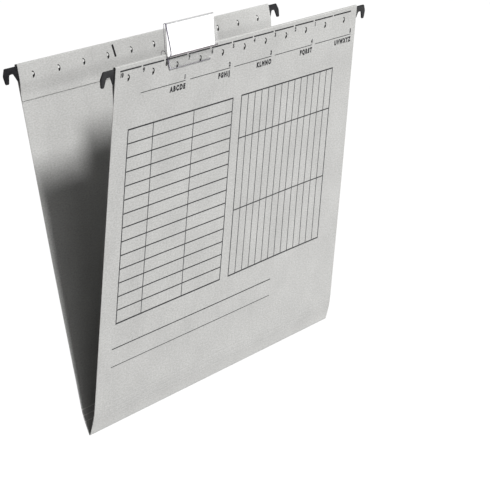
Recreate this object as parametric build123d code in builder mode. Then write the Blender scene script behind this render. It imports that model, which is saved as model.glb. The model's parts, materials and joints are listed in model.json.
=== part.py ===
from build123d import *
import os
from math import atan2, cos, degrees, hypot, radians, sin

os.makedirs("parts", exist_ok=True)

# A hanging file folder, standing open as a V.
# X runs along the rails, Y from front to rear and Z up, in millimetres.
# The origin is midway between the seats of the two rear hooks.

# Board: one creased sheet, cut here at its creases into flat facets
board_width = 318.0
board_thickness = 0.35
panel_height = 226.0  # from the upper crease to the top edge
lower_strip = 10.0  # from the bottom fold to the first crease
middle_strip = 4.0
upper_strip = 4.0
crease_gap = 0.1  # slack between two facets along their crease
panel_lean = 8.5  # degrees from upright, each side of the V
crease_bend = 3.1  # degrees at each crease

# Hem: the top of the board folded inwards over the rail and glued down
flap_height = 24.0
flap_foot_share = 0.33  # how much of the flap below the rail lies on the panel
glue_thickness = 0.1
glue_margin = 0.5  # from the glue to the flap's lower edge
glue_end_margin = 12.0  # from the glue to the ends of the board

# Rail: a flat steel strip with a hook at each end
rail_thickness = 0.8
rail_height = 9.6
rail_clearance = 0.3  # to the board on each face
rail_inset = 1.3  # from the top edge down to the rail
rail_room = 0.9  # from the rail's lower edge to where the flap turns in
hook_reach = 15.0  # beyond the end of the board
hook_drop = 10.2  # from the rail's top to the finger's tip
hook_shoulder = 2.4  # sloped corner of the hook, along the rail
hook_shoulder_drop = 4.6
hook_shoulder_radius = 1.2
hook_elbow_radius = 3.0
finger_taper = 1.2  # how far the finger's outer side leans in
finger_tip_width = 3.0
finger_tip_radius = 1.3
notch_depth = 4.4  # from the rail's top to the seat
notch_near = 4.2  # from the end of the board to the seat's near end
notch_width = 4.9  # of the seat
notch_radius = 1.7
hook_root = 0.8  # length of full-height rail beyond the board
hook_root_radius = 0.5

# Slits for the tab, one row on each side that faces the user
slit_count = 11
slit_left_margin = 14.2  # from the end of the board to the first slit
slit_right_margin = 19.8
slit_depth = 8.6  # below the top edge
slit_radius = 1.6
slit_sweep = 150.0  # degrees
slit_width = 1.0
mark_slit_length = 8.5  # one straight slit in the rear flap
mark_slit_width = 2.1
mark_slit_depth = 6.5
mark_slit_offset = 51.0  # left of the middle
mark_slit_tilt = 11.0  # degrees

# Tab: a clear holder clipped over the front hem, and its label
tab_offset = 71.5  # left of the middle
tab_width = 59.0
tab_sheet = 0.4
tab_clearance = 0.2  # to the hem
tab_window_length = 17.6  # flat stretch of the front sheet
tab_window_lean = 17.3  # degrees back from the front panel
tab_window_rise = 2.0  # of the window's foot above the top edge
tab_bulge = 2.4  # of the window's foot beyond the lip
tab_fold_width = 1.5  # between the two sheets at the top
tab_floor_depth = 2.6  # below the top edge
tab_lip_depth = 10.4  # below the top edge
tab_lip_taper = 4.5  # at each end of the lip
tab_leg_gap = 1.8  # from the hem to the rear leg
tab_leg_depth = 5.5  # below the top edge
tab_curl = 1.4
label_thickness = 0.25
label_clearance = 0.2  # to the window's sheet and to the hem
label_top_margin = 0.6
label_foot_depth = 1.5  # below the top edge
label_end_margin = 0.5

front = -1
rear = 1
side_names = {front: "front", rear: "rear"}

hem_radius = board_thickness + rail_clearance + rail_thickness / 2
flap_inner = board_thickness - 2 * hem_radius
flap_outer = flap_inner + board_thickness
flap_taper_start = rail_inset + rail_height + rail_room
flap_taper_end = flap_height - flap_foot_share * (flap_height - flap_taper_start)
slit_pitch = (board_width - slit_left_margin - slit_right_margin) / (slit_count - 1)
slit_offset = (slit_right_margin - slit_left_margin) / 2
strips = [
    ("lower", lower_strip, panel_lean + 3 * crease_bend),
    ("middle", middle_strip, panel_lean + 2 * crease_bend),
    ("upper", upper_strip, panel_lean + crease_bend),
]


def up_board(side, lean):
    return Vector(0, side * sin(radians(lean)), cos(radians(lean)))


def out_of_board(side, lean):
    return Vector(0, side * cos(radians(lean)), -sin(radians(lean)))


def climb(side):
    # From the bottom fold to the end of each facet, on the inner face
    points = [Vector(0, 0, 0)]
    for _, length, lean in strips:
        points.append(points[-1] + up_board(side, lean) * length)
    points.append(points[-1] + up_board(side, panel_lean) * panel_height)
    return points


def seat_from_fold(side):
    down = rail_inset + notch_depth
    inwards = rail_clearance + rail_thickness / 2
    top = climb(side)[-1]
    return top - up_board(side, panel_lean) * down - out_of_board(side, panel_lean) * inwards


fold_point = seat_from_fold(rear) * -1


def facet_plane(side, start, lean):
    # Seen from outside: x to the right, y up the board, z out of it
    return Plane(origin=start, x_dir=(-side, 0, 0), z_dir=out_of_board(side, lean))


def top_plane(side):
    return facet_plane(side, fold_point + climb(side)[-1], panel_lean)


def hem_section(side, along=0.0):
    # x out of the board, y up the board, level with the top edge
    start = fold_point + climb(side)[-1] + Vector(along, 0, 0)
    return Plane(origin=start, x_dir=out_of_board(side, panel_lean), z_dir=(side, 0, 0))


half_moon = CenterArc((0, 0), slit_radius, -slit_sweep / 2, slit_sweep)


def slit_sketch(side):
    # A row of half-moons that bulge to the user's right
    with Locations((side * slit_offset, -slit_depth)):
        with GridLocations(slit_pitch, 0, slit_count, 1):
            SlotArc(half_moon, slit_width, rotation=0 if side == front else 180)


def bar(start, end, thickness):
    # One flat stretch of a sheet, between two points of its middle line
    run, rise = end[0] - start[0], end[1] - start[1]
    with Locations(((start[0] + end[0]) / 2, (start[1] + end[1]) / 2)):
        SlotCenterToCenter(hypot(run, rise), thickness, rotation=degrees(atan2(rise, run)))


def save(piece, name):
    piece.label = name
    export_step(piece, f"parts/{name}.step")


for side, side_name in side_names.items():
    starts = [fold_point + point for point in climb(side)]

    # Base strips between the bottom fold and the panel
    for (strip_name, length, lean), start in zip(strips, starts):
        with BuildPart() as base_strip:
            with BuildSketch(facet_plane(side, start, lean)):
                with Locations((0, length / 2)):
                    Rectangle(board_width, length - crease_gap)
            extrude(amount=board_thickness)
        save(base_strip.part, f"{side_name}_base_strip_{strip_name}")

    # Panel, from the upper crease to the fold of the hem
    with BuildPart() as panel:
        with BuildSketch(top_plane(side)):
            with Locations((0, -hem_radius)):
                panel_length = panel_height - hem_radius - crease_gap / 2
                Rectangle(board_width, panel_length, align=(Align.CENTER, Align.MAX))
        extrude(amount=board_thickness)
        if side == front:
            with BuildSketch(top_plane(side)):
                slit_sketch(side)
            extrude(amount=board_thickness, mode=Mode.SUBTRACT)
    save(panel.part, f"{side_name}_panel")

    # Fold of the hem, over the rail
    with BuildPart() as hem_fold:
        with BuildSketch(hem_section(side)):
            with BuildLine():
                fold_middle = (board_thickness - hem_radius, -hem_radius)
                CenterArc(fold_middle, hem_radius, 0, 180)
                Line((flap_inner, -hem_radius), (flap_outer, -hem_radius))
                CenterArc(fold_middle, hem_radius - board_thickness, 180, -180)
                Line((0, -hem_radius), (board_thickness, -hem_radius))
            make_face()
        extrude(amount=board_width / 2, both=True)
    save(hem_fold.part, f"{side_name}_hem_fold")

    # Flap of the hem: down behind the rail, in to the panel, and its glued foot
    glued_face = -glue_thickness
    flap_corners = [
        ("flap", flap_outer, hem_radius, flap_outer, flap_taper_start),
        ("slope", flap_outer, flap_taper_start, glued_face, flap_taper_end),
        ("foot", glued_face, flap_taper_end, glued_face, flap_height),
    ]
    for facet_name, start_face, start_depth, end_face, end_depth in flap_corners:
        with BuildPart() as hem_facet:
            with BuildSketch(hem_section(side)):
                Polygon(
                    (start_face, -start_depth),
                    (start_face - board_thickness, -start_depth),
                    (end_face - board_thickness, -end_depth),
                    (end_face, -end_depth),
                    align=None,
                )
            extrude(amount=board_width / 2, both=True)
            if side == rear and facet_name == "flap":
                with BuildSketch(top_plane(side).offset(flap_inner)):
                    slit_sketch(side)
                    with Locations((mark_slit_offset, -mark_slit_depth)):
                        SlotOverall(mark_slit_length, mark_slit_width, rotation=90 - mark_slit_tilt)
                extrude(amount=board_thickness, mode=Mode.SUBTRACT)
        save(hem_facet.part, f"{side_name}_hem_{facet_name}")

    # Glue between the foot of the flap and the panel
    with BuildPart() as glue:
        with BuildSketch(top_plane(side)):
            with Locations((0, -flap_taper_end)):
                glue_height = flap_height - flap_taper_end - glue_margin
                glue_length = board_width - 2 * glue_end_margin
                Rectangle(glue_length, glue_height, align=(Align.CENTER, Align.MAX))
        extrude(amount=-glue_thickness)
    save(glue.part, f"{side_name}_hem_glue")

    # Rail with its two hooks
    with BuildPart() as rail:
        with BuildSketch(top_plane(side).offset(-rail_clearance)):
            board_end = board_width / 2
            hook_end = board_end + hook_reach
            finger_end = hook_end - finger_taper
            notch_start = board_end + notch_near
            seat = -rail_inset - notch_depth
            tip = -rail_inset - hook_drop
            foot = -rail_inset - rail_height
            with BuildLine():
                FilletPolyline(
                    (0, -rail_inset),
                    (hook_end - hook_shoulder, -rail_inset),
                    (hook_end, -rail_inset - hook_shoulder_drop),
                    (finger_end, tip),
                    (finger_end - finger_tip_width, tip),
                    (notch_start + notch_width, seat),
                    (notch_start, seat),
                    (board_end + hook_root, foot),
                    (0, foot),
                    radius=[
                        hook_shoulder_radius,
                        hook_elbow_radius,
                        finger_tip_radius,
                        finger_tip_radius,
                        notch_radius,
                        notch_radius,
                        hook_root_radius,
                    ],
                )
                mirror(about=Plane.YZ)
            make_face()
        extrude(amount=-rail_thickness)
    save(rail.part, f"{side_name}_rail")

# Clear tab holder: a sheet bent over at the top, with a lip in front of the hem and a leg behind it
lip_line = board_thickness + tab_clearance + tab_sheet / 2
leg_line = flap_inner - tab_leg_gap - tab_sheet / 2
lip_start = (lip_line, -tab_floor_depth)
window_up = Vector(-sin(radians(tab_window_lean)), cos(radians(tab_window_lean)))
window_out = Vector(window_up.Y, -window_up.X)
window_foot = Vector(lip_line + tab_bulge, tab_window_rise)
window_top = window_foot + window_up * tab_window_length
back_top = window_top - window_out * tab_fold_width
back_foot = (board_thickness - hem_radius, tab_clearance + tab_sheet / 2)
leg_top = (leg_line, back_foot[1])
leg_foot = (leg_line, -tab_leg_depth)
leg_tip = (leg_line - tab_curl / 2, -tab_leg_depth - tab_curl)
bulge_arc = TangentArc(window_foot, lip_start, tangent=window_up * -1)
top_arc = CenterArc((window_top + back_top) * 0.5, tab_fold_width / 2, tab_window_lean, 180)
leg_arc_middle = ((back_foot[0] + leg_line) / 2, back_foot[1])
leg_arc = CenterArc(leg_arc_middle, (back_foot[0] - leg_line) / 2, 0, 180)

with BuildPart() as tab_holder:
    with BuildSketch(hem_section(front, -tab_offset)):
        for arc in (bulge_arc, top_arc, leg_arc):
            SlotArc(arc, tab_sheet)
        bar((window_foot.X, window_foot.Y), (window_top.X, window_top.Y), tab_sheet)
        bar((back_top.X, back_top.Y), back_foot, tab_sheet)
        bar(leg_top, leg_foot, tab_sheet)
        bar(leg_foot, leg_tip, tab_sheet)
    extrude(amount=tab_width / 2, both=True)
    with BuildSketch(top_plane(front).offset(board_thickness + tab_clearance)):
        with Locations((-tab_offset, 0)):
            lip_half = tab_width / 2 - tab_lip_taper
            Polygon(
                (-tab_width / 2, -tab_floor_depth),
                (-lip_half, -tab_lip_depth),
                (lip_half, -tab_lip_depth),
                (tab_width / 2, -tab_floor_depth),
                align=None,
            )
    extrude(amount=tab_sheet)
save(tab_holder.part, "tab_holder")

# Label card, from the top of the window down to in front of the hem
label_step = (tab_sheet + label_thickness) / 2 + label_clearance
label_top = window_top - window_out * label_step - window_up * label_top_margin
label_foot = (board_thickness + label_clearance + label_thickness / 2, -label_foot_depth)

with BuildPart() as tab_label:
    with BuildSketch(hem_section(front, -tab_offset)):
        bar(label_foot, (label_top.X, label_top.Y), label_thickness)
    extrude(amount=tab_width / 2 - label_end_margin, both=True)
save(tab_label.part, "tab_label")
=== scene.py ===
import json
import math

import bmesh
import bpy
from mathutils import Matrix, Vector


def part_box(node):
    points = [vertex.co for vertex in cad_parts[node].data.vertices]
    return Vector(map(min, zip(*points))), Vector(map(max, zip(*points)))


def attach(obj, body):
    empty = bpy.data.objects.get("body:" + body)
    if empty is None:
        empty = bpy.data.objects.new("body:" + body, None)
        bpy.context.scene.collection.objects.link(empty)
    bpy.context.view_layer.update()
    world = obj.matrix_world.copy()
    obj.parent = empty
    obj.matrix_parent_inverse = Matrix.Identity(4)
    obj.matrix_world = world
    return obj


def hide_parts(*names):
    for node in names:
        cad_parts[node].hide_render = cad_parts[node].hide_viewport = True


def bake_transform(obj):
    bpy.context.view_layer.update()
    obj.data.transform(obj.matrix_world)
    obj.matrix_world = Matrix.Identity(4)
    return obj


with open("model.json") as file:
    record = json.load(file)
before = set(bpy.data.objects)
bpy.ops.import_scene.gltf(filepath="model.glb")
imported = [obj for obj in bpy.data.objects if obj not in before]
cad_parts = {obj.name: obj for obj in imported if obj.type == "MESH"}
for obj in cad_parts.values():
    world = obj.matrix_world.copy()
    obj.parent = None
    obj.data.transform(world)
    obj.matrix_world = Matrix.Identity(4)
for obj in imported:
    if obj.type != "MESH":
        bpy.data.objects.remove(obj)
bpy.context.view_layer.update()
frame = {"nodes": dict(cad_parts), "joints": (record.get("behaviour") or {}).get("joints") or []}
nodes = frame["nodes"]
scene = bpy.context.scene

front, rear = -1, 1
sideNames = {front: "front", rear: "rear"}

# One sheet of grey board, in metres
boardSheet = {
    "thickness": 0.00035,
    "strips": (0.010, 0.004, 0.004),  # from the bottom fold up
    "panelHeight": 0.226,
    "lean": 8.5,  # degrees from upright
    "creaseBend": 3.1,  # degrees at each crease
    "foldRadius": 0.0004,
    "creaseRadius": 0.0015,
    "creaseBead": 0.00014,  # raised line inside each crease
    "creaseDent": 0.5,  # of the bead, on the outer face
    "beadReach": 0.0005,
    "beadRows": 3,  # mesh rows in that reach
    "beadMargin": 3,  # reaches to each side with fine rows
    "rowGrowth": 0.7,  # of the rows further away
    "rowSlack": 1.3,  # longest last row of a run, in steps
    "creaseHighlightReach": 0.00025,  # of the painted highlight, to each side of a crease
    "hemRadius": 0.00105,  # of the outer face
    "flapTurn": 0.0118,  # depth where the flap turns in to the panel
    "flapEdge": 0.024,
    "flapFootShare": 0.33,  # of the flap below its turn, glued down
    "flapRadius": 0.026,
    "hemCorner": 0.00045,  # of the two bends over the rail
    "hemTopFacing": 0.6,  # upright share of a normal above which a face takes the painted fold shade
    "glueGap": 0.0001,
    "wave": 0.00035,  # unevenness of the panels
    "waveStart": 0.030,  # depth below which the panel is free of its hem
    "longSwell": {"share": 1.0, "halfTurns": 2.3, "shift": 0.8},
    "shortSwell": {"share": 0.6, "halfTurns": 4.1, "shift": 2.1},
    "rowStep": 0.004,
    "columnStep": 0.003,
    "arcStep": 10,  # degrees
    "arcSteps": 4,  # at least
}

foldJoint = next(j for j in frame["joints"] if j["name"] == "bottom_fold")
foldPoint = Vector(foldJoint["pos_m"])
panelLow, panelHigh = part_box("front_panel")
boardWidth = panelHigh.x - panelLow.x
boardLeft = panelLow.x
halfBoard = boardSheet["thickness"] / 2
weldGap = 1e-7  # points closer than this are one
nodeGap = 1e-6  # the same, on a CAD piece
smoothAngle = 30  # degrees, a sharper edge stays sharp


def upBoard(side, lean):
    return Vector((0, side * math.sin(math.radians(lean)), math.cos(math.radians(lean))))


def outOfBoard(side, lean):
    return Vector((0, side * math.cos(math.radians(lean)), -math.sin(math.radians(lean))))


def climbBoard(side):
    # from the bottom fold to the top edge, on the inner face
    points = [foldPoint.copy()]
    bends = len(boardSheet["strips"])
    for index, length in enumerate(boardSheet["strips"]):
        lean = boardSheet["lean"] + (bends - index) * boardSheet["creaseBend"]
        points.append(points[-1] + upBoard(side, lean) * length)
    points.append(points[-1] + upBoard(side, boardSheet["lean"]) * boardSheet["panelHeight"])
    return points


topEdges = {side: climbBoard(side)[-1] for side in sideNames}
ups = {side: upBoard(side, boardSheet["lean"]) for side in sideNames}
outs = {side: outOfBoard(side, boardSheet["lean"]) for side in sideNames}


def atHem(side, x, out, below):
    # a place given by its distance out of the inner face and below the top edge
    place = topEdges[side] + outs[side] * out - ups[side] * below
    return Vector((x, place.y, place.z))


def panelWave(side, x, below):
    # slow unevenness, nothing at the hem and at the creases
    free = (below - boardSheet["waveStart"]) / (boardSheet["panelHeight"] - boardSheet["waveStart"])
    if not 0 < free < 1:
        return 0.0
    along = (x - boardLeft) / boardWidth
    swell = 0.0
    for key, turn in (("longSwell", side), ("shortSwell", free)):
        form = boardSheet[key]
        phase = form["halfTurns"] * math.pi * along + form["shift"] * turn
        swell += form["share"] * math.sin(phase)
    return boardSheet["wave"] * math.sin(math.pi * free) ** 2 * swell


def onFront(across, below, lift):
    # a place on the front panel's outer face, as printed: from its left end and its top edge
    x = boardLeft + across
    out = boardSheet["thickness"] + panelWave(front, x, below) + lift
    return atHem(front, x, out, below)


def newPiece(name, mesh, materials):
    piece = bpy.data.objects.new(name, mesh)
    scene.collection.objects.link(piece)
    for material in materials:
        mesh.materials.append(material)
    return piece


def smoothMesh(mesh):
    mesh.shade_smooth()
    mesh.set_sharp_from_angle(angle=math.radians(smoothAngle))


# Materials
noiseSpread = (0.3, 0.7)  # where most values of a noise lie


def newMaterial(name, shine):
    material = bpy.data.materials.new(name)
    material.use_nodes = True
    shader = material.node_tree.nodes["Principled BSDF"]
    shader.inputs["Specular IOR Level"].default_value = shine
    return material, material.node_tree, shader


def addNode(tree, kind, **settings):
    node = tree.nodes.new(kind)
    for key, value in settings.items():
        setattr(node, key, value)
    return node


def addNoise(tree, place, scale, detail, stretch=(1, 1, 1)):
    mapping = addNode(tree, "ShaderNodeMapping")
    mapping.inputs["Scale"].default_value = stretch
    tree.links.new(place, mapping.inputs["Vector"])
    noise = addNode(tree, "ShaderNodeTexNoise")
    noise.inputs["Scale"].default_value = scale
    noise.inputs["Detail"].default_value = detail
    tree.links.new(mapping.outputs["Vector"], noise.inputs["Vector"])
    return noise.outputs["Fac"]


def addRamp(tree, value, stops):
    # two stops, each a position and a colour
    ramp = addNode(tree, "ShaderNodeValToRGB")
    for element, (position, colour) in zip(ramp.color_ramp.elements, stops):
        element.position = position
        element.color = (*colour, 1)
    tree.links.new(value, ramp.inputs["Fac"])
    return ramp.outputs["Color"]


def addMix(tree, blend, factor, first, second):
    mix = addNode(tree, "ShaderNodeMix", data_type="RGBA", blend_type=blend)
    mix.inputs["Factor"].default_value = factor
    tree.links.new(first, mix.inputs["A"])
    tree.links.new(second, mix.inputs["B"])
    return mix.outputs["Result"]


def addRange(tree, value, low, high):
    spread = addNode(tree, "ShaderNodeMapRange")
    spread.inputs["From Min"].default_value, spread.inputs["From Max"].default_value = noiseSpread
    spread.inputs["To Min"].default_value = low
    spread.inputs["To Max"].default_value = high
    tree.links.new(value, spread.inputs["Value"])
    return spread.outputs["Result"]


def addBump(tree, shader, height, strength, depth):
    bump = addNode(tree, "ShaderNodeBump")
    bump.inputs["Strength"].default_value = strength
    bump.inputs["Distance"].default_value = depth
    tree.links.new(height, bump.inputs["Height"])
    tree.links.new(bump.outputs["Normal"], shader.inputs["Normal"])


boardFinish = {
    "tone": (0.284, 0.283, 0.276),
    "edgeTone": (0.43, 0.42, 0.41),
    # painted highlight: the rear tongues are lighter than the board, as if they face the light
    "tongueHighlightTone": (0.46, 0.46, 0.45),
    "slitShadeTone": (0.030, 0.029, 0.028),  # painted shade: the cut walls are dark, as they lie in shade
    "foldShadeTone": (0.235, 0.234, 0.228),  # painted shade: darker where the board faces up along the top of each hem, to tone down its highlight
    "creaseHighlightTone": (0.50, 0.49, 0.48),  # painted highlight: lighter inside each crease, where its raised line catches the light
    "cloudScale": 38,  # per metre
    "cloudShade": 0.90,
    "fibreScale": 1100,
    "fibreStretch": (0.45, 1, 1),
    "fibreSpread": (0.28, 0.72),
    "fibreDepth": 0.16,  # lighter and darker than the tone
    "fleckScale": 900,
    "fleckStretch": (1, 0.6, 1),
    "fleckSpread": (0.22, 0.30),
    "fleckTone": (0.72, 0.71, 0.69),
    "fleckShare": 0.6,
    "roughness": (0.80, 0.94),
    "shine": 0.25,
    "bump": (0.25, 0.00006),  # strength and depth
}
white = (1.0, 1.0, 1.0)


def boardMaterial(name, tone):
    finish = boardFinish
    material, tree, shader = newMaterial(name, finish["shine"])
    place = addNode(tree, "ShaderNodeUVMap", uv_map="sheetMap").outputs["UV"]
    clouds = addNoise(tree, place, finish["cloudScale"], detail=4)
    fibres = addNoise(tree, place, finish["fibreScale"], detail=6, stretch=finish["fibreStretch"])
    flecks = addNoise(tree, place, finish["fleckScale"], detail=2, stretch=finish["fleckStretch"])
    pale, deep = (tuple(c * (1 + sign * finish["fibreDepth"]) for c in tone) for sign in (1, -1))
    fibreTone = addRamp(tree, fibres, zip(finish["fibreSpread"], (deep, pale)))
    cloudTone = addRamp(tree, clouds, zip(noiseSpread, ((finish["cloudShade"],) * 3, white)))
    fleckTone = addRamp(tree, flecks, zip(finish["fleckSpread"], (finish["fleckTone"], white)))
    colour = addMix(tree, "MULTIPLY", 1.0, fibreTone, cloudTone)
    colour = addMix(tree, "MULTIPLY", finish["fleckShare"], colour, fleckTone)
    tree.links.new(colour, shader.inputs["Base Color"])
    tree.links.new(addRange(tree, fibres, *finish["roughness"]), shader.inputs["Roughness"])
    addBump(tree, shader, fibres, *finish["bump"])
    return material


inkFinish = {
    "dark": (0.004, 0.004, 0.005),
    "worn": (0.022, 0.022, 0.024),
    "spread": (0.35, 0.75),
    "scale": 1500,
    "fineLighter": 0.008,  # of the thin lines
    "roughness": (0.5, 0.75),
    "shine": 0.1,
}


def inkMaterial(name, lighten):
    material, tree, shader = newMaterial(name, inkFinish["shine"])
    place = addNode(tree, "ShaderNodeTexCoord").outputs["Object"]
    grain = addNoise(tree, place, inkFinish["scale"], detail=3)
    tones = [tuple(c + lighten for c in inkFinish[key]) for key in ("dark", "worn")]
    colour = addRamp(tree, grain, zip(inkFinish["spread"], tones))
    tree.links.new(colour, shader.inputs["Base Color"])
    tree.links.new(addRange(tree, grain, *inkFinish["roughness"]), shader.inputs["Roughness"])
    return material


railFinish = {
    "lacquer": (0.007, 0.007, 0.008),
    "worn": (0.013, 0.013, 0.014),
    "spread": (0.3, 0.8),
    "grainScale": 700,
    "grainStretch": (0.2, 1, 1),
    "peelScale": 2600,
    "roughness": (0.45, 0.6),
    "shine": 0.1,
    "bump": (0.2, 0.00004),
    "bevel": 0.00012,
    "bevelSteps": 2,
}


def railMaterial():
    material, tree, shader = newMaterial("blackLacquer", railFinish["shine"])
    place = addNode(tree, "ShaderNodeTexCoord").outputs["Object"]
    grain = addNoise(tree, place, railFinish["grainScale"], detail=5, stretch=railFinish["grainStretch"])
    peel = addNoise(tree, place, railFinish["peelScale"], detail=2)
    colour = addRamp(tree, grain, zip(railFinish["spread"], (railFinish["lacquer"], railFinish["worn"])))
    tree.links.new(colour, shader.inputs["Base Color"])
    tree.links.new(addRange(tree, grain, *railFinish["roughness"]), shader.inputs["Roughness"])
    addBump(tree, shader, peel, *railFinish["bump"])
    return material


filmFinish = {
    "clear": {"tone": (0.93, 0.93, 0.95), "haze": 0.06},
    # painted shade on the curl under the window, with the board's shadow behind it
    "curlShade": {"tone": (0.19, 0.14, 0.17), "haze": 0.60},
    # painted shade: a dark line at the film's cut edges, standing in for the dark refraction there
    "edge": {"tone": (0.08, 0.07, 0.10), "haze": 0.85},
    "lip": {"tone": (0.15, 0.16, 0.15), "haze": 0.04},
    # painted shade: a dark line along the film's top fold
    "fold": {"tone": (0.24, 0.24, 0.24), "haze": 0.9},
    "grainScale": 350,
    "grainShade": 0.94,
    "roughness": (0.08, 0.16),
    "shine": 0.5,
}


def filmMaterial(name, tone, haze):
    material, tree, shader = newMaterial(name, filmFinish["shine"])
    place = addNode(tree, "ShaderNodeTexCoord").outputs["Object"]
    grain = addNoise(tree, place, filmFinish["grainScale"], detail=3)
    shade = tuple(c * filmFinish["grainShade"] for c in tone)
    colour = addRamp(tree, grain, zip(noiseSpread, (shade, tone)))
    tree.links.new(colour, shader.inputs["Base Color"])
    tree.links.new(addRange(tree, grain, *filmFinish["roughness"]), shader.inputs["Roughness"])
    shader.inputs["Alpha"].default_value = haze
    return material


cardFinish = {
    "tone": (0.90, 0.90, 0.89),
    "shade": (0.84, 0.84, 0.83),
    "fibreScale": 1200,
    "roughness": (0.72, 0.88),
    "shine": 0.3,
    "bump": (0.15, 0.00003),
}


def cardMaterial():
    material, tree, shader = newMaterial("whiteCard", cardFinish["shine"])
    place = addNode(tree, "ShaderNodeTexCoord").outputs["Object"]
    fibres = addNoise(tree, place, cardFinish["fibreScale"], detail=5)
    colour = addRamp(tree, fibres, zip(noiseSpread, (cardFinish["shade"], cardFinish["tone"])))
    tree.links.new(colour, shader.inputs["Base Color"])
    tree.links.new(addRange(tree, fibres, *cardFinish["roughness"]), shader.inputs["Roughness"])
    addBump(tree, shader, fibres, *cardFinish["bump"])
    return material


glueFinish = {
    "tone": (0.72, 0.66, 0.50),
    "thick": (0.58, 0.50, 0.34),
    "spread": (0.35, 0.65),
    "scale": 160,
    "roughness": (0.25, 0.5),
    "shine": 0.5,
}


def glueMaterial():
    material, tree, shader = newMaterial("driedGlue", glueFinish["shine"])
    place = addNode(tree, "ShaderNodeTexCoord").outputs["Object"]
    pools = addNoise(tree, place, glueFinish["scale"], detail=3)
    colour = addRamp(tree, pools, zip(glueFinish["spread"], (glueFinish["thick"], glueFinish["tone"])))
    tree.links.new(colour, shader.inputs["Base Color"])
    tree.links.new(addRange(tree, pools, *glueFinish["roughness"]), shader.inputs["Roughness"])
    return material


greyBoard = boardMaterial("greyBoard", boardFinish["tone"])
boardEdge = boardMaterial("boardCutEdge", boardFinish["edgeTone"])
boardTongueHighlight = boardMaterial("boardTongueHighlight", boardFinish["tongueHighlightTone"])
boardFinishes = {
    "sheet": greyBoard,
    "edge": boardEdge,
    # painted shade on the cut walls of the slits
    "slit": boardMaterial("boardSlitShade", boardFinish["slitShadeTone"]),
    # painted shade along the top of each hem
    "fold": boardMaterial("boardFoldShade", boardFinish["foldShadeTone"]),
    # painted highlight inside each crease
    "crease": boardMaterial("boardCreaseHighlight", boardFinish["creaseHighlightTone"]),
}
boardZones = {zone: index for index, zone in enumerate(boardFinishes)}
ink = inkMaterial("printInk", 0.0)
fineInk = inkMaterial("fineInk", inkFinish["fineLighter"])
print("materials:", len(bpy.data.materials))


# Board: its section from the front flap over both panels to the rear flap
def roundRun(corners):
    # straight runs through the corners, with an arc of its radius at each
    run = [corners[0][0]]
    for (before, _), (corner, radius), (after, _) in zip(corners, corners[1:], corners[2:]):
        inward, outward = (corner - before).normalized(), (after - corner).normalized()
        turn = inward.angle(outward)
        reach = radius * math.tan(turn / 2)
        start, end = corner - inward * reach, corner + outward * reach
        steps = max(boardSheet["arcSteps"], math.ceil(math.degrees(turn) / boardSheet["arcStep"]))
        middle = corner + (outward - inward).normalized() * radius / math.cos(turn / 2)
        for step in range(steps + 1):
            spoke = (start - middle).slerp(end - middle, step / steps)  # of unit length
            run.append(middle + spoke * radius)
    run.append(corners[-1][0])
    return run


def divideRun(run, step):
    divided = [run[0]]
    for start, end in zip(run, run[1:]):
        pieces = max(1, math.ceil((end - start).length / step))
        divided += [start.lerp(end, part / pieces) for part in range(1, pieces + 1)]
    return divided


def hemRun(side):
    # middle line of the hem, from the flap's lower edge over the rail to the panel
    flapOut = halfBoard - 2 * (boardSheet["hemRadius"] - halfBoard)
    footOut = -boardSheet["glueGap"] - halfBoard
    flapEdge, flapTurn = boardSheet["flapEdge"], boardSheet["flapTurn"]
    flapFoot = flapEdge - (flapEdge - flapTurn) * boardSheet["flapFootShare"]
    corners = [
        (atHem(side, 0, footOut, flapEdge), 0),
        (atHem(side, 0, footOut, flapFoot), boardSheet["flapRadius"]),
        (atHem(side, 0, flapOut, flapTurn), boardSheet["flapRadius"]),
        (atHem(side, 0, flapOut, halfBoard), boardSheet["hemCorner"]),
        (atHem(side, 0, halfBoard, halfBoard), boardSheet["hemCorner"]),
        (atHem(side, 0, halfBoard, boardSheet["hemRadius"]), 0),
    ]
    return divideRun(roundRun(corners), boardSheet["rowStep"])


def creasePlaces(side):
    # creases on the board's middle line, from the panel down to the bottom fold
    points = climbBoard(side)
    bends = len(boardSheet["strips"])
    leans = [boardSheet["lean"] + (bends - index) * boardSheet["creaseBend"] for index in range(bends)]
    leans.append(boardSheet["lean"])
    places = []
    for index in range(bends, 0, -1):
        normal = outOfBoard(side, (leans[index - 1] + leans[index]) / 2)
        places.append(points[index] + normal * halfBoard)
    return places


def panelRun(side):
    # middle line from the hem down to just short of the bottom fold
    start = atHem(side, 0, halfBoard, boardSheet["hemRadius"])
    return [(start, 0)] + [(place, boardSheet["creaseRadius"]) for place in creasePlaces(side)]


foldBottom = foldPoint - Vector((0, 0, halfBoard))
middleRun = roundRun(panelRun(front) + [(foldBottom, boardSheet["foldRadius"])] + panelRun(rear)[::-1])
beads = [place for side in sideNames for place in creasePlaces(side)]
fineStep = boardSheet["beadReach"] / boardSheet["beadRows"]


def refineRun(run):
    # close rows beside each crease, wider ones elsewhere
    rows = [run[0]]
    margin = boardSheet["beadMargin"] * boardSheet["beadReach"]
    for start, end in zip(run, run[1:]):
        length = (end - start).length
        gone = 0.0
        while gone < length:
            here = start.lerp(end, gone / length)
            near = min((here - bead).length for bead in beads)
            step = max(fineStep, min(boardSheet["rowStep"], (near - margin) * boardSheet["rowGrowth"]))
            gone = length if gone + boardSheet["rowSlack"] * step > length else gone + step
            rows.append(start.lerp(end, gone / length))
    return rows


boardRun = hemRun(front) + refineRun(middleRun)[1:-1] + hemRun(rear)[::-1]


def runNormals(run):
    # away from the space between the two panels, all along the sheet
    normals = []
    for index in range(len(run)):
        before, after = run[max(index - 1, 0)], run[min(index + 1, len(run) - 1)]
        along = (after - before).normalized()
        normals.append(Vector((0, along.z, -along.y)))
    return normals


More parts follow.
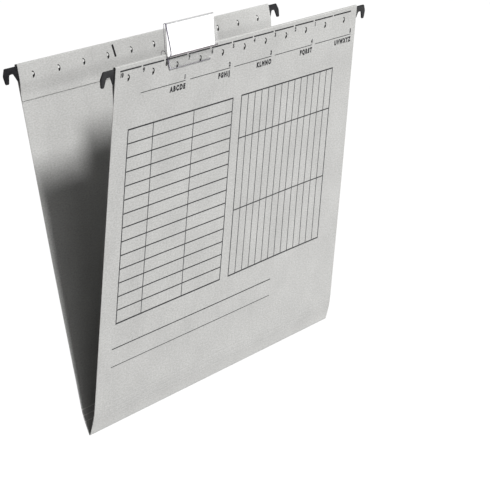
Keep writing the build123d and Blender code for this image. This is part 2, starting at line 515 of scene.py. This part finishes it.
def boardMesh():
    normals = runNormals(boardRun)
    columns = round(boardWidth / boardSheet["columnStep"])
    mesh = bmesh.new()
    layer = mesh.loops.layers.uv.new("sheetMap")
    lengths = [0.0]
    for start, end in zip(boardRun, boardRun[1:]):
        lengths.append(lengths[-1] + (end - start).length)
    skins = {}
    for row, (point, normal) in enumerate(zip(boardRun, normals)):
        side = front if point.y < foldPoint.y else rear
        below = (topEdges[side] - point).dot(ups[side])
        onPanel = abs((point - topEdges[side]).dot(outs[side]) - halfBoard) < halfBoard
        near = min((point - bead).length for bead in beads)
        bead = boardSheet["creaseBead"] * math.exp(-((near / boardSheet["beadReach"]) ** 2))
        for column in range(columns + 1):
            x = boardLeft + boardWidth * column / columns
            wave = panelWave(side, x, below) if onPanel else 0.0
            outer, inner = halfBoard - bead * boardSheet["creaseDent"], -halfBoard - bead
            for face, out in (("outer", outer), ("inner", inner)):
                place = point + normal * (out + wave)
                skins[face, row, column] = mesh.verts.new((x, place.y, place.z))
    lastRow = len(boardRun) - 1

    def addFace(corners, zone="sheet"):
        face = mesh.faces.new([skins[corner] for corner in corners])
        face.material_index = boardZones[zone]
        for loop, (_, row, column) in zip(face.loops, corners):
            loop[layer].uv = (boardWidth * column / columns, lengths[row])

    for row in range(lastRow):
        middle = (boardRun[row] + boardRun[row + 1]) / 2
        # painted highlight: the inner face beside each crease takes the lighter crease tone
        creased = min((middle - bead).length for bead in beads) < boardSheet["creaseHighlightReach"]
        for column in range(columns):
            square = [(row, column), (row, column + 1), (row + 1, column + 1), (row + 1, column)]
            addFace([("outer", *corner) for corner in square])
            addFace([("inner", *corner) for corner in square[::-1]], "crease" if creased else "sheet")
        for column in (0, columns):
            ring = [("outer", row, column), ("outer", row + 1, column)]
            ring += [("inner", row + 1, column), ("inner", row, column)]
            addFace(ring if column == 0 else ring[::-1], "edge")
    for column in range(columns):
        for row in (0, lastRow):
            ring = [("outer", row, column), ("inner", row, column)]
            ring += [("inner", row, column + 1), ("outer", row, column + 1)]
            addFace(ring if row == 0 else ring[::-1], "edge")
    bmesh.ops.recalc_face_normals(mesh, faces=mesh.faces)
    # painted shade: sheet faces that look upward, along the top of each hem, take the darker fold tone
    for face in mesh.faces:
        onTop = face.normal.z > boardSheet["hemTopFacing"]
        if onTop and face.material_index == boardZones["sheet"]:
            face.material_index = boardZones["fold"]
    data = bpy.data.meshes.new("board")
    mesh.to_mesh(data)
    mesh.free()
    return data


# Half-moon slits for the tab, and one straight slit in the rear flap
slits = {
    "count": 11,
    "leftMargin": 0.0142,  # seen from the front
    "rightMargin": 0.0198,
    "depth": 0.0086,
    "radius": 0.0016,
    "sweep": 190,  # degrees
    "gap": 0.0014,
    "lifts": {front: 0.0002, rear: 0.00045},  # of the tongue's free edge
    "tongueRise": 0.0006,  # so that the gap is widest at the foot
    "markPlace": -0.051,
    "markDepth": 0.0065,
    "markLength": 0.0085,
    "markWidth": 0.0021,
    "markTilt": 11,  # degrees
    "steps": 14,
    "tongueRows": 6,
    "tongueCurl": 1.4,  # more bends the tongue nearer its free edge
}
slitPitch = (boardWidth - slits["leftMargin"] - slits["rightMargin"]) / (slits["count"] - 1)
slitPlaces = [boardLeft + slits["leftMargin"] + slitPitch * index for index in range(slits["count"])]
# the face that shows: the panel's outer one in front, the flap's inner one at the rear
slitFaces = {front: boardSheet["thickness"], rear: boardSheet["thickness"] - 2 * boardSheet["hemRadius"]}


def halfMoon(radius):
    half = math.radians(slits["sweep"] / 2)
    angles = [half - 2 * half * step / slits["steps"] for step in range(slits["steps"] + 1)]
    return [(radius * math.cos(angle), radius * math.sin(angle)) for angle in angles]


def addPrism(mesh, side, centre, outline, low, high):
    # a closed prism through the board, its outline given across and up
    rings = []
    for out in (low, high):
        places = [atHem(side, centre[0] + x, out, centre[1] - y) for x, y in outline]
        rings.append([mesh.verts.new(place) for place in places])
    mesh.faces.new(rings[0])
    mesh.faces.new(rings[1][::-1])
    for index in range(len(outline)):
        after = (index + 1) % len(outline)
        mesh.faces.new([rings[0][index], rings[1][index], rings[1][after], rings[0][after]])


def slitCutter():
    mesh = bmesh.new()
    reach = 2 * boardSheet["thickness"]
    for side in sideNames:
        low = min(slitFaces[side], slitFaces[side] + side * boardSheet["thickness"]) - reach / 2
        for x in slitPlaces:
            outline = halfMoon(slits["radius"] + slits["gap"] / 2)
            addPrism(mesh, side, (x, slits["depth"]), outline, low, low + 2 * reach)
    tilt = math.radians(slits["markTilt"])
    along = Vector((-math.sin(tilt), math.cos(tilt)))
    across = Vector((along.y, -along.x))
    outline = []
    for a, b in ((-1, -1), (1, -1), (1, 1), (-1, 1)):
        corner = across * a * slits["markWidth"] / 2 + along * b * slits["markLength"] / 2
        outline.append((corner.x, corner.y))
    low = slitFaces[rear] - reach / 2
    addPrism(mesh, rear, (slits["markPlace"], slits["markDepth"]), outline, low, low + 2 * reach)
    for face in mesh.faces:
        # painted shade: the cut walls take the dark slit tone
        face.material_index = boardZones["slit"]
    bmesh.ops.recalc_face_normals(mesh, faces=mesh.faces)
    data = bpy.data.meshes.new("slitCutter")
    mesh.to_mesh(data)
    mesh.free()
    return data


def cutSlits(board):
    cutter = bpy.data.objects.new("slitCutter", slitCutter())
    scene.collection.objects.link(cutter)
    cut = board.modifiers.new("slits", "BOOLEAN")
    cut.operation = "DIFFERENCE"
    cut.solver = "EXACT"
    cut.object = cutter
    bpy.context.view_layer.update()
    evaluated = board.evaluated_get(bpy.context.evaluated_depsgraph_get())
    mesh = bpy.data.meshes.new_from_object(evaluated)
    board.modifiers.clear()
    board.data = mesh
    bpy.data.objects.remove(cutter)


board = newPiece("board_sheet", boardMesh(), boardFinishes.values())
cutSlits(board)
smoothMesh(board.data)
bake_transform(board)
boardParts = ["base_strip_lower", "base_strip_middle", "base_strip_upper", "panel"]
boardParts += ["hem_fold", "hem_flap", "hem_slope", "hem_foot"]
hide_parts(*[f"{name}_{part}" for name in sideNames.values() for part in boardParts])
print("board:", len(board.data.polygons), "faces in", len(boardRun), "rows")


def tonguesMesh(side):
    # the flaps of board inside the half-moons, lifted at their free edges
    mesh = bmesh.new()
    layer = mesh.loops.layers.uv.new("sheetMap")
    rim = halfMoon(slits["radius"] - slits["gap"] / 2)
    hinge = rim[0][0]
    tip = slits["radius"] - slits["gap"] / 2
    rows = slits["tongueRows"]
    boardFace, cutFace = 0, 1  # places in the list of finishes
    for x in slitPlaces:
        skins = {}
        for level in (0, 1):
            for index, (rimAcross, rimUp) in enumerate(rim):
                for row in range(rows + 1):
                    across = hinge + (rimAcross - hinge) * row / rows
                    bend = max(0.0, (across - hinge) / (tip - hinge))
                    raised = slits["lifts"][side] * bend ** slits["tongueCurl"]
                    raised -= level * boardSheet["thickness"]
                    below = slits["depth"] - slits["tongueRise"] - rimUp
                    place = atHem(side, x + across, slitFaces[side] - side * raised, below)
                    skins[level, index, row] = mesh.verts.new(place)
        last = len(rim) - 1
        faces = []
        for index in range(last):
            for row in range(rows):
                square = [(index, row), (index, row + 1), (index + 1, row + 1), (index + 1, row)]
                faces.append(([(0, *corner) for corner in square], boardFace))
                faces.append(([(1, *corner) for corner in square[::-1]], boardFace))
            for row in (0, rows):
                ring = [(0, index, row), (0, index + 1, row), (1, index + 1, row), (1, index, row)]
                faces.append((ring, cutFace if row else boardFace))
        for corners, material in faces:
            verts = [skins[corner] for corner in corners]
            face = mesh.faces.new(verts)
            face.material_index = material
            for loop in face.loops:
                loop[layer].uv = (loop.vert.co.x - boardLeft, loop.vert.co.z)
        for index in (0, last):
            for row in range(rows):
                ring = [(0, index, row), (0, index, row + 1), (1, index, row + 1), (1, index, row)]
                mesh.faces.new([skins[corner] for corner in ring]).material_index = cutFace
    bmesh.ops.remove_doubles(mesh, verts=mesh.verts, dist=weldGap)
    bmesh.ops.recalc_face_normals(mesh, faces=mesh.faces)
    data = bpy.data.meshes.new(f"{sideNames[side]}_slit_tongues")
    mesh.to_mesh(data)
    mesh.free()
    return data


for side, sideName in sideNames.items():
    # painted highlight: the rear tongues take the lighter tongue tone, the front ones the plain board
    finishes = [greyBoard if side == front else boardTongueHighlight, boardEdge]
    tongues = newPiece(f"{sideName}_slit_tongues", tonguesMesh(side), finishes)
    smoothMesh(tongues.data)
    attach(tongues, f"{sideName}_side")
print("slits:", 2 * slits["count"], "half-moons and one straight")

# Print on the front panel, measured from the panel's left end and top edge
printForm = {
    "lift": 0.00002,  # of the ink above the board
    "sink": 0.00001,
    "step": 0.006,  # along a line, so that it follows the board
    "capitalShare": 0.7,  # a capital's height in the size of its type
    "curveSteps": 4,  # along each curve of a letter
    "scale": {"below": 0.0034, "start": 0.0052, "end": 0.3091, "width": 0.0010, "gap": 0.0018},
    "scaleMarks": (0.0302, 0.0566, 0.0842, 0.1128, 0.1402, 0.1680, 0.1964, 0.2248, 0.2534, 0.2820),
    "scaleDigits": {"below": 0.0073, "height": 0.0026, "inset": 0.0002, "weight": 0.00026},
    "index": {
        "below": 0.0207,
        "width": 0.0005,
        "lines": ((0.0302, 0.0834), (0.0891, 0.1399), (0.1452, 0.1954), (0.1997, 0.2535), (0.2577, 0.3117)),
        "letters": ("ABCDE", "FGHIJ", "KLMNO", "PQRST", "UVWXYZ"),
        "lettersBelow": 0.0258,
        "lettersHeight": 0.0032,
        "lettersWeight": 0.00036,
        "digitsWeight": 0.0003,
        "lettersSpacing": 1.4,
        "digitsBelow": 0.0194,
        "digitsHeight": 0.0027,
    },
    "leftTable": {"left": 0.0184, "right": 0.1468, "top": 0.0427, "bottom": 0.1712, "rows": 14},
    "leftColumns": (0.0477, 0.0970),
    "rightTable": {"left": 0.1583, "right": 0.2879, "top": 0.0426, "bottom": 0.1714, "columns": 14},
    "rightRows": (0.0726, 0.1238),
    "frameWidth": 0.0010,
    "lineWidth": 0.0008,
    "form": {"left": 0.0157, "right": 0.2204, "below": (0.1881, 0.2005), "widths": (0.0007, 0.0005)},
}


def addStripe(mesh, places, width, onSurface):
    # a thin line through places on a surface
    places = [Vector(place) for place in places]
    along = (places[-1] - places[0]).normalized()
    across = Vector((along.y, -along.x)) * width / 2
    rings = []
    for middle in divideRun(places, printForm["step"]):
        corners = [(middle - across, -printForm["sink"]), (middle + across, -printForm["sink"])]
        corners += [(middle + across, printForm["lift"]), (middle - across, printForm["lift"])]
        rings.append([mesh.verts.new(onSurface(spot.x, spot.y, lift)) for spot, lift in corners])
    for here, after in zip(rings, rings[1:]):
        for index in range(len(here)):
            beside = (index + 1) % len(here)
            mesh.faces.new([here[index], here[beside], after[beside], after[index]])
    mesh.faces.new(rings[0])
    mesh.faces.new(rings[-1][::-1])


def layLines(name, stripes, material, onSurface):
    mesh = bmesh.new()
    for places, width in stripes:
        addStripe(mesh, places, width, onSurface)
    bmesh.ops.recalc_face_normals(mesh, faces=mesh.faces)
    data = bpy.data.meshes.new(name)
    mesh.to_mesh(data)
    mesh.free()
    return newPiece(name, data, [material])


def printLines(name, stripes, material):
    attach(layLines(name, stripes, material, onFront), "front_side")


def printWords(name, words, height, align, weight, spacing=1.0):
    # each word is set flat, then laid on the panel; the weight thickens its strokes
    mesh = bmesh.new()
    middle = (printForm["lift"] - printForm["sink"]) / 2
    flatten = (printForm["lift"] + printForm["sink"]) / (4 * weight)  # a word is set 4 weights deep
    for text, across, below in words:
        curve = bpy.data.curves.new(name, "FONT")
        curve.body = text
        curve.size = height / printForm["capitalShare"]
        curve.align_x = align
        curve.space_character = spacing
        curve.extrude = weight
        curve.bevel_depth = weight
        curve.bevel_resolution = 0
        curve.resolution_u = printForm["curveSteps"]
        setter = bpy.data.objects.new(name, curve)
        scene.collection.objects.link(setter)
        bpy.context.view_layer.update()
        evaluated = setter.evaluated_get(bpy.context.evaluated_depsgraph_get())
        flat = bpy.data.meshes.new_from_object(evaluated)
        for vertex in flat.vertices:
            x, y, z = vertex.co
            vertex.co = onFront(across + x, below - y, middle + z * flatten)
        mesh.from_mesh(flat)
        bpy.data.objects.remove(setter)
    bmesh.ops.remove_doubles(mesh, verts=mesh.verts, dist=weldGap)
    bmesh.ops.recalc_face_normals(mesh, faces=mesh.faces)
    data = bpy.data.meshes.new(name)
    mesh.to_mesh(data)
    mesh.free()
    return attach(newPiece(name, data, [ink]), "front_side")


def printScale():
    scale, marks = printForm["scale"], printForm["scaleMarks"]
    starts = [scale["start"]] + [mark + scale["gap"] / 2 for mark in marks]
    ends = [mark - scale["gap"] / 2 for mark in marks] + [scale["end"]]
    below, width = scale["below"], scale["width"]
    lines = [(((a, below), (b, below)), width) for a, b in zip(starts, ends)]
    printLines("print_scale", lines, ink)
    digits = printForm["scaleDigits"]
    words = []
    for index, start in enumerate(starts[:-1]):
        words.append((str(len(marks) - index), start + digits["inset"], digits["below"]))
    printWords("print_scale_digits", words, digits["height"], "LEFT", digits["weight"])


def printIndex():
    index = printForm["index"]
    below, width = index["below"], index["width"]
    lines = [(((a, below), (b, below)), width) for a, b in index["lines"]]
    printLines("print_index_lines", lines, fineInk)
    ends = [end for _, end in index["lines"]]
    letters = [(text, end, index["lettersBelow"]) for text, end in zip(index["letters"], ends)]
    height, weight, spacing = (index[key] for key in ("lettersHeight", "lettersWeight", "lettersSpacing"))
    printWords("print_index_letters", letters, height, "RIGHT", weight, spacing)
    digits = [(str(i + 1), end, index["digitsBelow"]) for i, end in enumerate(ends)]
    printWords("print_index_digits", digits, index["digitsHeight"], "RIGHT", index["digitsWeight"])


def printTable(name, table, acrossLines, downLines):
    frameWidth, lineWidth = printForm["frameWidth"], printForm["lineWidth"]
    left, right, top, bottom = (table[key] for key in ("left", "right", "top", "bottom"))
    overlap = frameWidth / 2
    lines = [(((left - overlap, y), (right + overlap, y)), frameWidth) for y in (top, bottom)]
    lines += [(((x, top), (x, bottom)), frameWidth) for x in (left, right)]
    lines += [(((left, y), (right, y)), lineWidth) for y in acrossLines]
    lines += [(((x, top), (x, bottom)), lineWidth) for x in downLines]
    printLines(name, lines, fineInk)


def evenLines(low, high, count):
    return [low + (high - low) * index / count for index in range(1, count)]


printScale()
printIndex()
leftTable, rightTable = printForm["leftTable"], printForm["rightTable"]
leftRows = evenLines(leftTable["top"], leftTable["bottom"], leftTable["rows"])
rightColumns = evenLines(rightTable["left"], rightTable["right"], rightTable["columns"])
printTable("print_left_table", leftTable, leftRows, printForm["leftColumns"])
printTable("print_right_table", rightTable, printForm["rightRows"], rightColumns)
form = printForm["form"]
formLines = []
for below, width in zip(form["below"], form["widths"]):
    formLines.append((((form["left"], below), (form["right"], below)), width))
printLines("print_form_lines", formLines, fineInk)
print("print: scale, index, two tables and two lines")


# CAD pieces that stay: their finishes
def dressNode(name, materials):
    node = nodes[name]
    node.data.materials.clear()
    for material in materials:
        node.data.materials.append(material)
    return node


def weldNode(node):
    weld = node.modifiers.new("weld", "WELD")
    weld.merge_threshold = nodeGap
    smoothMesh(node.data)


lacquer, driedGlue = railMaterial(), glueMaterial()
for sideName in sideNames.values():
    rail = dressNode(f"{sideName}_rail", [lacquer])
    weldNode(rail)
    bevel = rail.modifiers.new("roundedEdges", "BEVEL")
    bevel.width = railFinish["bevel"]
    bevel.segments = railFinish["bevelSteps"]
    bevel.limit_method = "ANGLE"
    glue = dressNode(f"{sideName}_hem_glue", [driedGlue])

label = dressNode("tab_label", [cardMaterial()])

# Tab: its film, zone by zone, with painted shade on its curl and painted dark lines along its edges and top
# fold
tabFilm = {
    "curlShade": (0.0005, 0.0019),  # depths of the painted shade on the curl, from the board's top edge down
    "lipTop": 0.0028,
    "lipEdge": 0.0001,  # height of the lip's cut edge
    "edgeFacing": 0.7,  # leftward share of a normal on the left edge
    "sideRim": 0.0011,  # widths of the painted dark lines
    "lipRim": 0.0010,
    "footRim": 0.00035,
    "topRim": 0.0007,
    "rimSteps": 40,
}
filmZones = ("clear", "curlShade", "edge", "lip")
films = {key: filmMaterial(f"film_{key}", **filmFinish[key]) for key in (*filmZones, "fold")}
holder = dressNode("tab_holder", [films[zone] for zone in filmZones])
weldNode(holder)
holderLow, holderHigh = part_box("tab_holder")
tabWidth = holderHigh.x - holderLow.x


def hemPlace(point):
    # depth below the front's top edge, and distance out of its inner face
    offset = point - topEdges[front]
    return -offset.dot(ups[front]), offset.dot(outs[front])


holderPlaces = [hemPlace(vertex.co) for vertex in holder.data.vertices]
holderEdges = [sorted(holderPlaces[index] for index in edge.vertices) for edge in holder.data.edges]
tabTop = min(below for below, _ in holderPlaces)
lipDepth = max(below for below, out in holderPlaces if out > boardSheet["thickness"])
holderVertices = zip(holder.data.vertices, holderPlaces)
lipFoot = [vertex.co.x for vertex, (below, _) in holderVertices if below > lipDepth - nodeGap]
lipTaper = min(lipFoot) - holderLow.x


def tabOut(below):
    # how far out the front sheet stands at a depth
    depth = min(max(below, tabTop), lipDepth)
    reaches = []
    for (high, highOut), (low, lowOut) in holderEdges:
        if high <= depth <= low and high < low:
            reaches.append(highOut + (lowOut - highOut) * (depth - high) / (low - high))
    return max(reaches)


def onTab(across, below, lift):
    return atHem(front, holderLow.x + across, tabOut(below) + lift, below)


def paintTabRimShade():
    sideRim, lipRim, footRim, topRim = (tabFilm[key] for key in ("sideRim", "lipRim", "footRim", "topRim"))
    lipTop, steps = tabFilm["lipTop"], tabFilm["rimSteps"]
    side = [(sideRim / 2, tabTop + (lipTop - tabTop) * step / steps) for step in range(steps + 1)]
    lip = [(lipRim / 2, lipTop), (lipTaper + lipRim / 2, lipDepth)]
    foot = [(lipTaper, lipDepth - footRim / 2), (tabWidth - lipTaper, lipDepth - footRim / 2)]
    top = [(0, tabTop + topRim / 2), (tabWidth, tabTop + topRim / 2)]
    rims = [(side, sideRim), (lip, lipRim), (foot, footRim)]
    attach(layLines("tab_rim_shade", rims, films["edge"], onTab), "tab")
    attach(layLines("tab_fold_shade", [(top, topRim)], films["fold"], onTab), "tab")


def filmZone(polygon):
    below, out = hemPlace(polygon.center)
    curlStart, curlEnd = tabFilm["curlShade"]
    # painted shade: left-facing ends and the lip's cut edge take the dark edge tone
    if polygon.normal.x < -tabFilm["edgeFacing"] or below > lipDepth - tabFilm["lipEdge"]:
        return "edge"
    # painted shade: the curl under the window takes the dark curl tone
    if out > boardSheet["thickness"] and below > curlStart:
        return "curlShade" if below < curlEnd else "lip"
    return "clear"


for polygon in holder.data.polygons:
    polygon.material_index = filmZones.index(filmZone(polygon))
paintTabRimShade()
print("rails, tab and label: finished")

# Camera at the photograph's place
camera = {
    "focal": 2244.6,  # in pixels of the image's longer side
    "longSide": 500,
    "sensor": 36.0,
    "yaw": 58.826,  # degrees
    "pitch": -12.489,
    "roll": -3.010,
    "place": (-1.2935, -0.8106, 0.4255),  # from the bottom fold
    "clip": (0.05, 50),
}


def placeCamera():
    yaw, pitch, roll = (math.radians(camera[key]) for key in ("yaw", "pitch", "roll"))
    ahead = Vector((math.sin(yaw) * math.cos(pitch), math.cos(yaw) * math.cos(pitch), math.sin(pitch)))
    right = Vector((math.cos(yaw), -math.sin(yaw), 0))
    up = right.cross(ahead)
    turnedRight = right * math.cos(roll) + up * math.sin(roll)
    turnedUp = up * math.cos(roll) - right * math.sin(roll)
    data = bpy.data.cameras.new("camera")
    data.sensor_width = camera["sensor"]
    data.lens = camera["focal"] * camera["sensor"] / camera["longSide"]
    data.clip_start, data.clip_end = camera["clip"]
    eye = bpy.data.objects.new("camera", data)
    axes = Matrix((turnedRight, turnedUp, -ahead)).transposed().to_4x4()
    eye.matrix_world = Matrix.Translation(foldPoint + Vector(camera["place"])) @ axes
    scene.collection.objects.link(eye)
    scene.camera = eye


placeCamera()

# Studio: pale floor, white surround, soft lamps
studio = {
    "floorDrop": 0.50,  # below the bottom fold, as where the folder hangs
    "floorSize": 60.0,
    "floorTone": (0.61, 0.61, 0.61),
    "floorShade": 0.99,
    "floorGrain": 3,  # per metre
    "floorRoughness": 0.95,
    "surround": 0.05,
    "keyLamp": {"azimuth": 2, "elevation": 47.3, "spread": 14, "strength": 7.0},  # degrees, W/m2
    "sideLamp": {"place": (0.62, -0.62, 0.10), "size": 0.35, "strength": 2.2},  # from the fold, W
    "topLamp": {"place": (0.08, 0.0, 0.60), "size": 0.25, "strength": 1.0},
    "rearLamp": {"place": (0.25, 1.10, 0.20), "size": 0.50, "strength": 8.0},
    "stripLamp": {
        "place": (0.0, -0.246, -0.165),
        "size": 0.6,
        "height": 0.012,
        "beam": 6,  # degrees, narrow, along the bottom fold
        "strength": 0.009,
    },
}


def studioFloor():
    mesh = bmesh.new()
    bmesh.ops.create_grid(mesh, x_segments=4, y_segments=4, size=studio["floorSize"] / 2)
    data = bpy.data.meshes.new("floor")
    mesh.to_mesh(data)
    mesh.free()
    material, tree, shader = newMaterial("paleFloor", 0.0)
    shader.inputs["Roughness"].default_value = studio["floorRoughness"]
    place = addNode(tree, "ShaderNodeTexCoord").outputs["Object"]
    grain = addNoise(tree, place, studio["floorGrain"], detail=2)
    shade = tuple(c * studio["floorShade"] for c in studio["floorTone"])
    tone = addRamp(tree, grain, zip(noiseSpread, (shade, studio["floorTone"])))
    tree.links.new(tone, shader.inputs["Base Color"])
    floor = newPiece("floor", data, [material])
    floor.location.z = foldPoint.z - studio["floorDrop"]


def studioSurround():
    world = bpy.data.worlds.new("surround")
    world.use_nodes = True
    background = world.node_tree.nodes["Background"]
    background.inputs["Color"].default_value = (1, 1, 1, 1)
    background.inputs["Strength"].default_value = studio["surround"]
    scene.world = world


def studioLamp(name, kind, place):
    data = bpy.data.lights.new(name, kind)
    data.energy = studio[name]["strength"]
    lamp = bpy.data.objects.new(name, data)
    lamp.location = foldPoint + place
    lamp.rotation_euler = (-place).to_track_quat("-Z", "Y").to_euler()
    scene.collection.objects.link(lamp)
    return data


studioFloor()
studioSurround()
keyAzimuth, keyElevation = (math.radians(studio["keyLamp"][key]) for key in ("azimuth", "elevation"))
keyLevel = Vector((math.sin(keyAzimuth), -math.cos(keyAzimuth), 0)) * math.cos(keyElevation)
keyLamp = studioLamp("keyLamp", "SUN", keyLevel + Vector((0, 0, math.sin(keyElevation))))
keyLamp.angle = math.radians(studio["keyLamp"]["spread"])
for lampName in ("sideLamp", "topLamp", "rearLamp"):
    softLamp = studioLamp(lampName, "AREA", Vector(studio[lampName]["place"]))
    softLamp.size = studio[lampName]["size"]
strip = studio["stripLamp"]
stripLamp = studioLamp("stripLamp", "AREA", Vector(strip["place"]))
stripLamp.shape = "RECTANGLE"
stripLamp.size, stripLamp.size_y = strip["size"], strip["height"]
stripLamp.spread = math.radians(strip["beam"])
scene.view_settings.view_transform = "Standard"
print("studio: floor, surround and five lamps")
